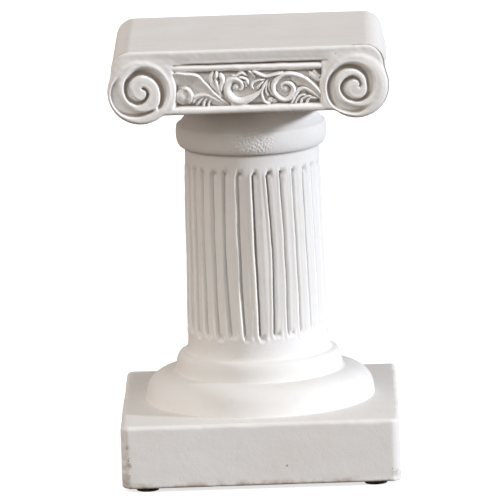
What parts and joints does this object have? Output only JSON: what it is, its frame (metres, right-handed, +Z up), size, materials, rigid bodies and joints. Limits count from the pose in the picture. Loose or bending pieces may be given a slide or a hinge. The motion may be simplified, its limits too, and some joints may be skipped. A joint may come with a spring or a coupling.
{
  "type": "roman column",
  "caption": "Small cast gypsum column with a square plinth, fluted shaft and scrolled capital with a carved leaf panel; a decorative stand or ornament.",
  "frame": {"origin": "on the ground under the middle of the plinth, at the foot pads' undersides", "axes": "+Z up the column, +X to the right seen from the front, front face with the carved panel towards -Y"},
  "size_m": [0.1422, 0.142, 0.2245],
  "materials": {
    "gypsum": "matt white cast gypsum",
    "pad": "matt dark stick-on pad"
  },
  "bodies": {
    "root": {"column": "gypsum", "foot_pad_front_left": "pad", "foot_pad_front_right": "pad", "foot_pad_rear_left": "pad", "foot_pad_rear_right": "pad"}
  },
  "joints": []
}
